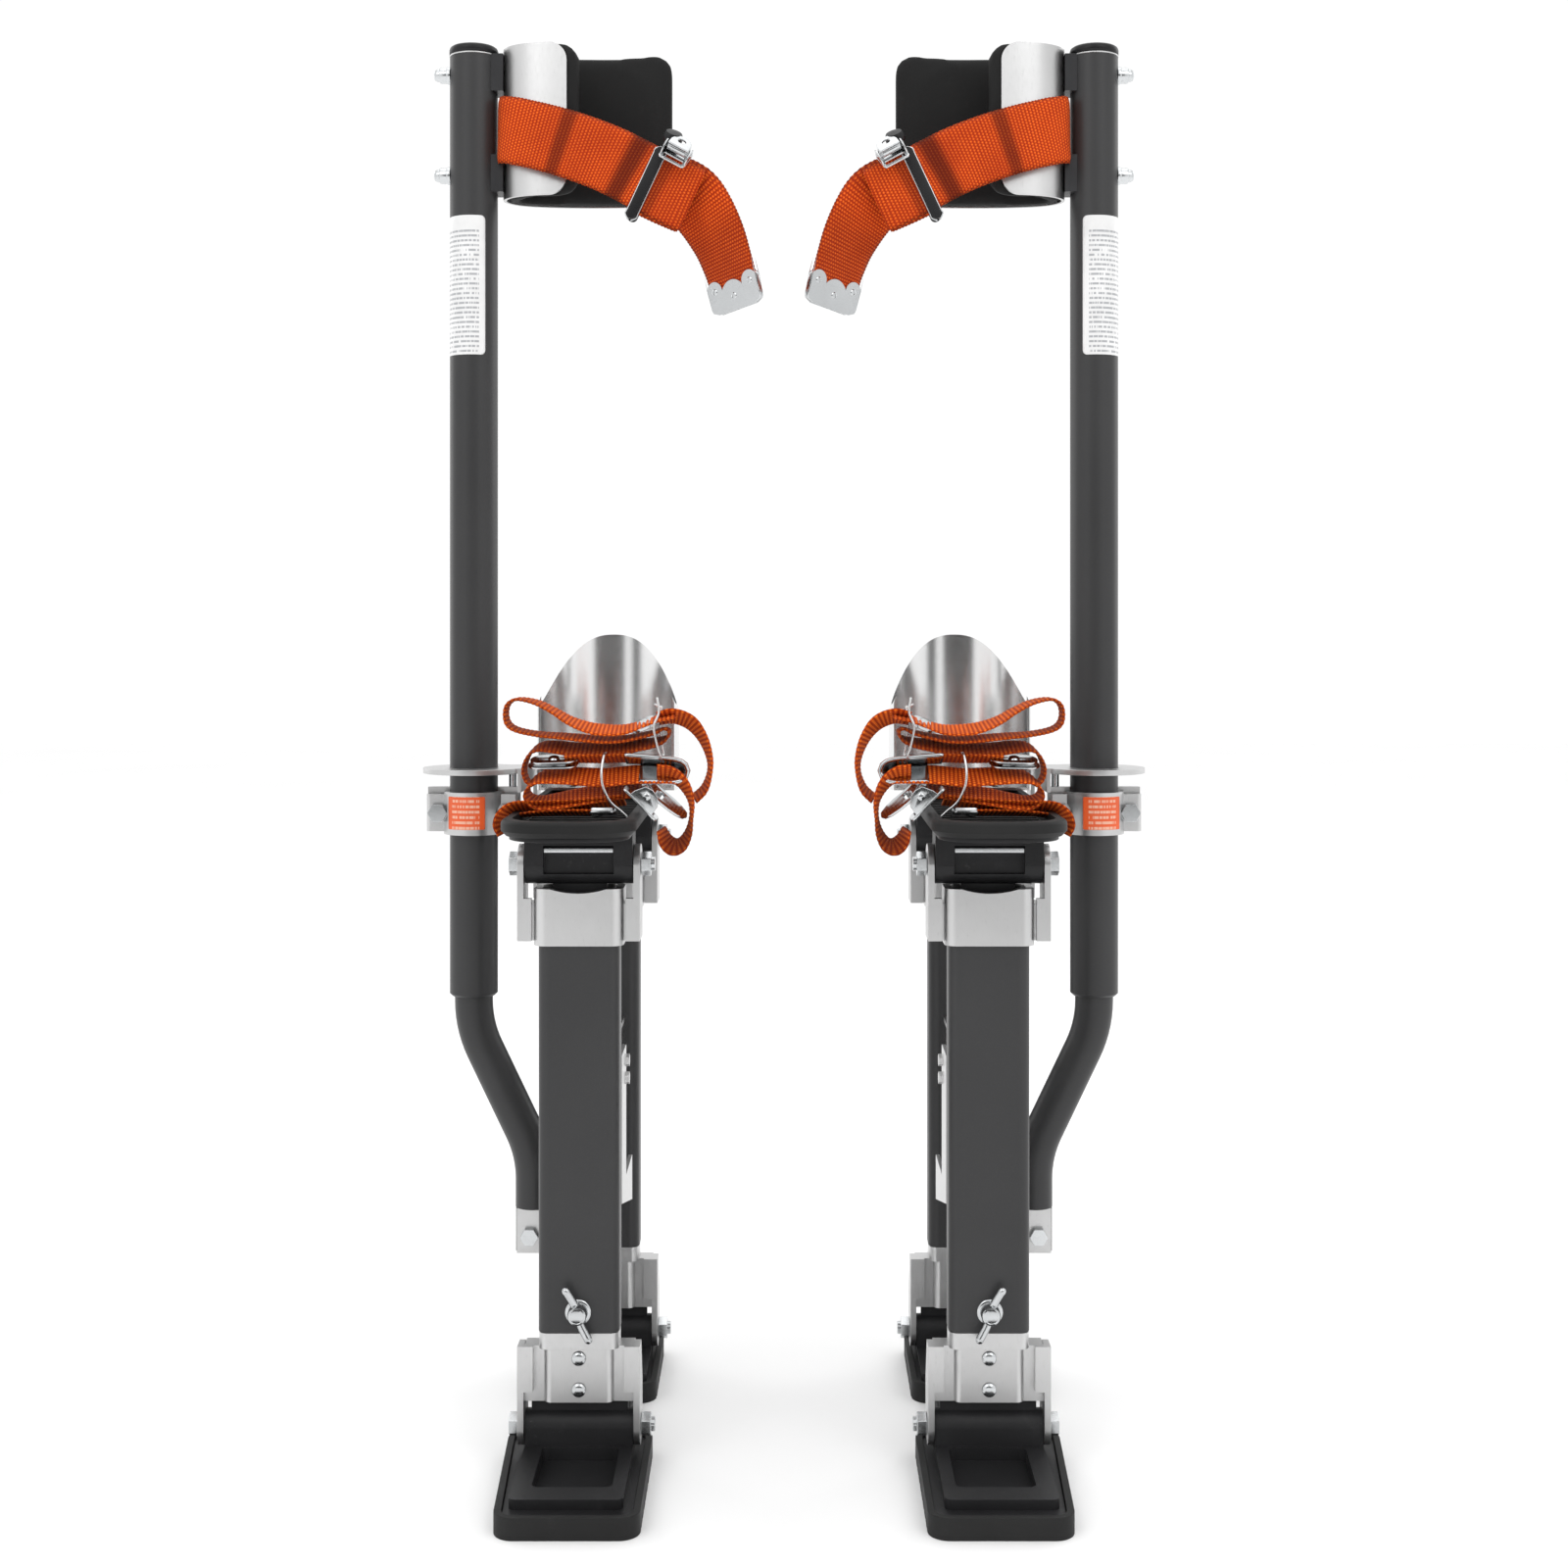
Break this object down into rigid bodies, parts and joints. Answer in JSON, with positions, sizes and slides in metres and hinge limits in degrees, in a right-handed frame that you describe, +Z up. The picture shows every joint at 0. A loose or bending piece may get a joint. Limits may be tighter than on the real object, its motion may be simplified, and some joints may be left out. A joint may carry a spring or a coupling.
{
  "type": "drywall stilts",
  "caption": "Pair of adjustable work stilts: sprung parallel struts, foot plate, heel cup, side pole and padded calf band with webbing straps.",
  "frame": {"origin": "on the floor, midway between the two stilts and midway along the soles", "axes": "+Z up, toes towards -Y, the wearer's left stilt at +X"},
  "size_m": [0.546, 0.356, 1.033],
  "materials": {
    "graphite_tube": "satin dark graphite coat on aluminium tube",
    "satin_aluminium": "satin bead-blasted aluminium",
    "bare_aluminium": "bare aluminium sheet with a soft brushed sheen",
    "bright_zinc": "bright zinc-plated steel",
    "dark_hardware": "zinc-plated bolts with dark plastic saddles",
    "spring_steel": "oiled spring steel",
    "black_casting": "black cast metal, lightly textured",
    "black_rubber": "matte moulded rubber",
    "black_plastic": "moulded black plastic",
    "orange_webbing": "woven orange webbing",
    "black_foam": "closed foam pad with a smooth black skin"
  },
  "bodies": {
    "floor": {"floor_plates": "black_casting", "floor_soles": "black_rubber", "ankle_bolts": "bright_zinc"},
    "right_rear_shank": {"right_rear_shank": "satin_aluminium"},
    "right_rear_leg": {"right_rear_outer_strut": "graphite_tube", "right_rear_brackets": "satin_aluminium", "right_rear_fasteners": "bright_zinc", "right_pole_lower": "graphite_tube", "right_pole_clamp": "satin_aluminium"},
    "right_rear_wing_bolt": {"right_rear_wing_bolt": "bright_zinc"},
    "right_spring_seat": {"right_springs": "spring_steel"},
    "right_pole": {"right_pole_upper": "graphite_tube", "right_pole_cap": "black_plastic", "right_calf_band": "satin_aluminium", "right_calf_pad": "black_foam", "right_calf_mounts": "dark_hardware", "right_calf_strap": "orange_webbing", "right_calf_buckle": "bright_zinc"},
    "right_calf_lever": {"right_calf_buckle_lever": "bright_zinc"},
    "right_foot_plate": {"right_foot_plate": "black_casting", "right_foot_plate_cover": "black_rubber", "right_hinge_blocks": "black_casting", "right_hinge_bolts": "bright_zinc", "right_foot_straps": "orange_webbing", "right_foot_buckle": "bright_zinc"},
    "right_foot_lever": {"right_foot_buckle_lever": "bright_zinc"},
    "right_heel_cup": {"right_heel_cup": "bare_aluminium"},
    "right_front_shank": {"right_front_shank": "satin_aluminium"},
    "right_front_leg": {"right_front_outer_strut": "graphite_tube", "right_front_brackets": "satin_aluminium"},
    "right_front_wing_bolt": {"right_front_wing_bolt": "bright_zinc"},
    "left_rear_shank": {"left_rear_shank": "satin_aluminium"},
    "left_rear_leg": {"left_rear_outer_strut": "graphite_tube", "left_rear_brackets": "satin_aluminium", "left_rear_fasteners": "bright_zinc", "left_pole_lower": "graphite_tube", "left_pole_clamp": "satin_aluminium"},
    "left_rear_wing_bolt": {"left_rear_wing_bolt": "bright_zinc"},
    "left_spring_seat": {"left_springs": "spring_steel"},
    "left_pole": {"left_pole_upper": "graphite_tube", "left_pole_cap": "black_plastic", "left_calf_band": "satin_aluminium", "left_calf_pad": "black_foam", "left_calf_mounts": "dark_hardware", "left_calf_strap": "orange_webbing", "left_calf_buckle": "bright_zinc"},
    "left_calf_lever": {"left_calf_buckle_lever": "bright_zinc"},
    "left_foot_plate": {"left_foot_plate": "black_casting", "left_foot_plate_cover": "black_rubber", "left_hinge_blocks": "black_casting", "left_hinge_bolts": "bright_zinc", "left_foot_straps": "orange_webbing", "left_foot_buckle": "bright_zinc"},
    "left_foot_lever": {"left_foot_buckle_lever": "bright_zinc"},
    "left_heel_cup": {"left_heel_cup": "bare_aluminium"},
    "left_front_shank": {"left_front_shank": "satin_aluminium"},
    "left_front_leg": {"left_front_outer_strut": "graphite_tube", "left_front_brackets": "satin_aluminium"},
    "left_front_wing_bolt": {"left_front_wing_bolt": "bright_zinc"}
  },
  "joints": [
    {"name": "right_ankle_flex", "type": "hinge", "parent": "floor", "child": "right_rear_shank", "pos_m": [-0.144, 0.14, 0.031], "axis": [1, 0, 0], "range_deg": [-8, 15], "stiffness_Nm_per_rad": 400},
    {"name": "right_front_ankle", "type": "hinge", "parent": "floor", "child": "right_front_shank", "pos_m": [-0.144, -0.06, 0.031], "axis": [1, 0, 0], "range_deg": [-8.5, 15.5]},
    {"name": "right_height", "type": "slide", "parent": "right_rear_shank", "child": "right_rear_leg", "axis": [0, 0, 1], "range_m": [0, 0.254]},
    {"name": "right_front_height", "type": "slide", "parent": "right_front_shank", "child": "right_front_leg", "axis": [0, 0, 1], "range_m": [0, 0.2545]},
    {"name": "right_plate_level", "type": "hinge", "parent": "right_rear_leg", "child": "right_foot_plate", "pos_m": [-0.144, 0.14, 0.427], "axis": [1, 0, 0], "range_deg": [-15.5, 8.5]},
    {"name": "right_spring_travel", "type": "slide", "parent": "right_rear_leg", "child": "right_spring_seat", "axis": [0, 0, 1], "range_m": [-0.029, 0.0535], "deforming": ["right_springs"]},
    {"name": "right_calf_height", "type": "slide", "parent": "right_rear_leg", "child": "right_pole", "axis": [0, 0, 1], "range_m": [0, 0.1]},
    {"name": "right_calf_lever_turn", "type": "hinge", "parent": "right_pole", "child": "right_calf_lever", "pos_m": [-0.073, -0.012, 0.943], "axis": [1, 0, 0], "range_deg": [0, 75]},
    {"name": "right_foot_lever_turn", "type": "hinge", "parent": "right_foot_plate", "child": "right_foot_lever", "pos_m": [-0.09391, -0.094, 0.47823], "axis": [0, -1, 0], "range_deg": [0, 70]},
    {"name": "right_heel_slide", "type": "slide", "parent": "right_foot_plate", "child": "right_heel_cup", "axis": [0, 1, 0], "range_m": [-0.012, 0.012]},
    {"name": "right_front_wing_turn", "type": "hinge", "parent": "right_front_leg", "child": "right_front_wing_bolt", "pos_m": [-0.144, -0.075, 0.115], "axis": [0, -1, 0], "continuous": true},
    {"name": "right_rear_wing_turn", "type": "hinge", "parent": "right_rear_leg", "child": "right_rear_wing_bolt", "pos_m": [-0.144, 0.155, 0.115], "axis": [0, 1, 0], "continuous": true},
    {"name": "left_ankle_flex", "type": "hinge", "parent": "floor", "child": "left_rear_shank", "pos_m": [0.144, 0.14, 0.031], "axis": [1, 0, 0], "range_deg": [-8, 15], "stiffness_Nm_per_rad": 400},
    {"name": "left_front_ankle", "type": "hinge", "parent": "floor", "child": "left_front_shank", "pos_m": [0.144, -0.06, 0.031], "axis": [1, 0, 0], "range_deg": [-8.5, 15.5]},
    {"name": "left_height", "type": "slide", "parent": "left_rear_shank", "child": "left_rear_leg", "axis": [0, 0, 1], "range_m": [0, 0.254]},
    {"name": "left_front_height", "type": "slide", "parent": "left_front_shank", "child": "left_front_leg", "axis": [0, 0, 1], "range_m": [0, 0.2545]},
    {"name": "left_plate_level", "type": "hinge", "parent": "left_rear_leg", "child": "left_foot_plate", "pos_m": [0.144, 0.14, 0.427], "axis": [1, 0, 0], "range_deg": [-15.5, 8.5]},
    {"name": "left_spring_travel", "type": "slide", "parent": "left_rear_leg", "child": "left_spring_seat", "axis": [0, 0, 1], "range_m": [-0.029, 0.0535], "deforming": ["left_springs"]},
    {"name": "left_calf_height", "type": "slide", "parent": "left_rear_leg", "child": "left_pole", "axis": [0, 0, 1], "range_m": [0, 0.1]},
    {"name": "left_calf_lever_turn", "type": "hinge", "parent": "left_pole", "child": "left_calf_lever", "pos_m": [0.073, -0.012, 0.943], "axis": [1, 0, 0], "range_deg": [0, 75]},
    {"name": "left_foot_lever_turn", "type": "hinge", "parent": "left_foot_plate", "child": "left_foot_lever", "pos_m": [0.09391, -0.094, 0.47823], "axis": [0, 1, 0], "range_deg": [0, 70]},
    {"name": "left_heel_slide", "type": "slide", "parent": "left_foot_plate", "child": "left_heel_cup", "axis": [0, 1, 0], "range_m": [-0.012, 0.012]},
    {"name": "left_front_wing_turn", "type": "hinge", "parent": "left_front_leg", "child": "left_front_wing_bolt", "pos_m": [0.144, -0.075, 0.115], "axis": [0, -1, 0], "continuous": true},
    {"name": "left_rear_wing_turn", "type": "hinge", "parent": "left_rear_leg", "child": "left_rear_wing_bolt", "pos_m": [0.144, 0.155, 0.115], "axis": [0, 1, 0], "continuous": true}
  ],
  "couplings": [
    {"joint": "right_front_ankle", "follows": "right_ankle_flex", "ratio": 1},
    {"joint": "right_plate_level", "follows": "right_ankle_flex", "ratio": -1},
    {"joint": "right_spring_travel", "follows": "right_ankle_flex", "m_per_rad": 0.2},
    {"joint": "right_front_height", "follows": "right_height", "ratio": 1},
    {"joint": "left_front_ankle", "follows": "left_ankle_flex", "ratio": 1},
    {"joint": "left_plate_level", "follows": "left_ankle_flex", "ratio": -1},
    {"joint": "left_spring_travel", "follows": "left_ankle_flex", "m_per_rad": 0.2},
    {"joint": "left_front_height", "follows": "left_height", "ratio": 1}
  ]
}
